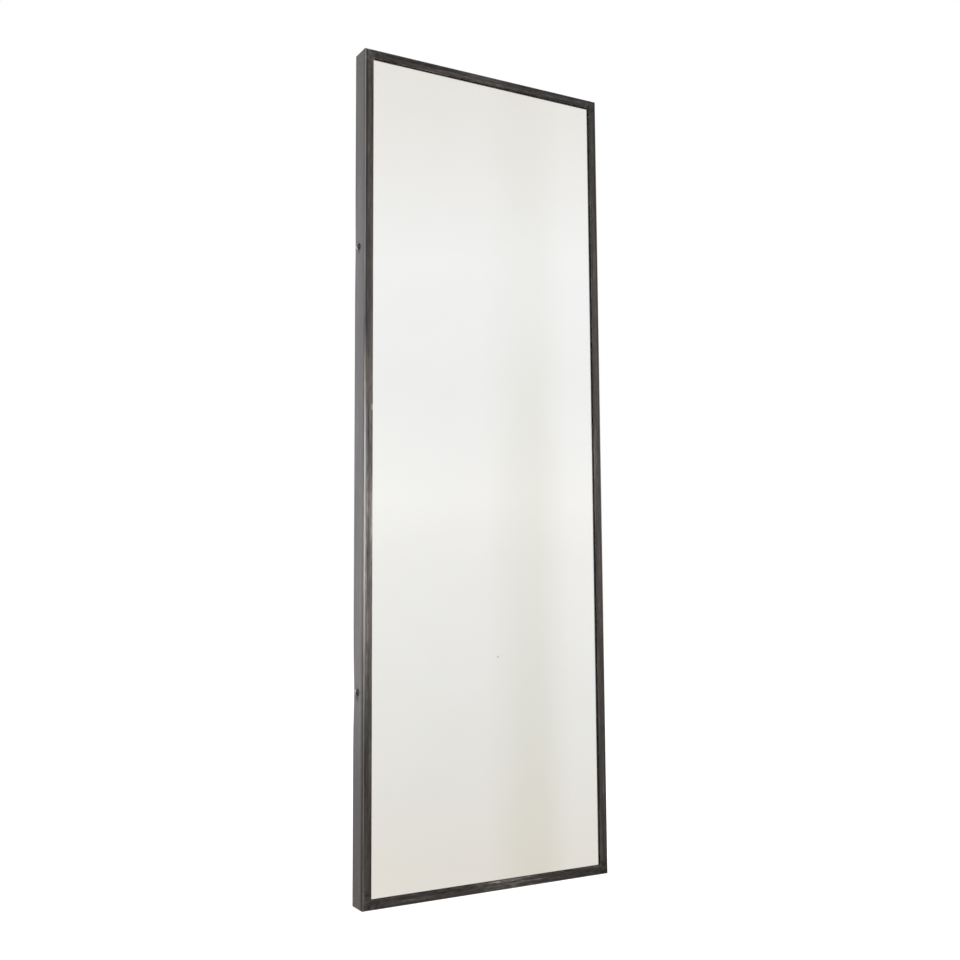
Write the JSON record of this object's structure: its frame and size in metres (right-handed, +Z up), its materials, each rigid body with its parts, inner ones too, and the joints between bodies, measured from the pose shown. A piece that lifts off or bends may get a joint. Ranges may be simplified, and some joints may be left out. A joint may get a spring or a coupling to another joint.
{
  "type": "leaning floor mirror",
  "caption": "Tall rectangular floor mirror in a slim welded steel L-section frame on a timber sub-frame, with round-head side screws and swinging D-ring hangers.",
  "frame": {"origin": "on the floor under the middle of the mirror: the bottom centre of its box, bumpers and side screws included", "axes": "+Z up along the height, the glass faces -Y, +Y is the back that leans on the wall, +X is to the right of someone who looks into the mirror"},
  "size_m": [0.6094, 0.0524, 1.8],
  "materials": {
    "blackened_steel": "satin",
    "weld_bead": "satin",
    "black_screw": "satin",
    "clear_glass": "polished",
    "silvering": "polished",
    "fibreboard": "matte",
    "pine": "matte",
    "zinc_steel": "satin",
    "black_rubber": "matte"
  },
  "bodies": {
    "mirror": {"frame_stile_left": "blackened_steel", "frame_stile_right": "blackened_steel", "frame_rail_top": "blackened_steel", "frame_rail_bottom": "blackened_steel", "corner_weld_bottom_left": "weld_bead", "corner_weld_bottom_right": "weld_bead", "corner_weld_top_left": "weld_bead", "corner_weld_top_right": "weld_bead", "side_screw_left_lower": "black_screw", "side_screw_left_upper": "black_screw", "side_screw_right_lower": "black_screw", "side_screw_right_upper": "black_screw", "mirror_glass": "clear_glass", "silver_coating": "silvering", "backing_board": "fibreboard", "setting_block_left": "black_rubber", "setting_block_right": "black_rubber", "batten_left": "pine", "batten_right": "pine", "batten_top": "pine", "batten_bottom": "pine", "cross_batten_1": "pine", "cross_batten_2": "pine", "joint_screw_left_bottom_lower": "black_screw", "joint_screw_left_bottom_upper": "black_screw", "joint_screw_left_cross_1": "black_screw", "joint_screw_left_cross_2": "black_screw", "joint_screw_left_top_lower": "black_screw", "joint_screw_left_top_upper": "black_screw", "joint_screw_right_bottom_lower": "black_screw", "joint_screw_right_bottom_upper": "black_screw", "joint_screw_right_cross_1": "black_screw", "joint_screw_right_cross_2": "black_screw", "joint_screw_right_top_lower": "black_screw", "joint_screw_right_top_upper": "black_screw", "hanger_strap_left": "zinc_steel", "hanger_strap_right": "zinc_steel", "hanger_screw_left_lower": "zinc_steel", "hanger_screw_left_upper": "zinc_steel", "hanger_screw_right_lower": "zinc_steel", "hanger_screw_right_upper": "zinc_steel", "wall_bumper_bottom_left": "black_rubber", "wall_bumper_bottom_right": "black_rubber", "wall_bumper_top_left": "black_rubber", "wall_bumper_top_right": "black_rubber"},
    "ring_left": {"hanger_ring_left": "zinc_steel"},
    "ring_right": {"hanger_ring_right": "zinc_steel"}
  },
  "joints": [
    {"name": "ring_left_swing", "type": "hinge", "parent": "mirror", "child": "ring_left", "pos_m": [-0.2735, 0.0207, 1.5], "axis": [1, 0, 0], "range_deg": [0, 185]},
    {"name": "ring_right_swing", "type": "hinge", "parent": "mirror", "child": "ring_right", "pos_m": [0.2735, 0.0207, 1.5], "axis": [1, 0, 0], "range_deg": [0, 185]}
  ]
}
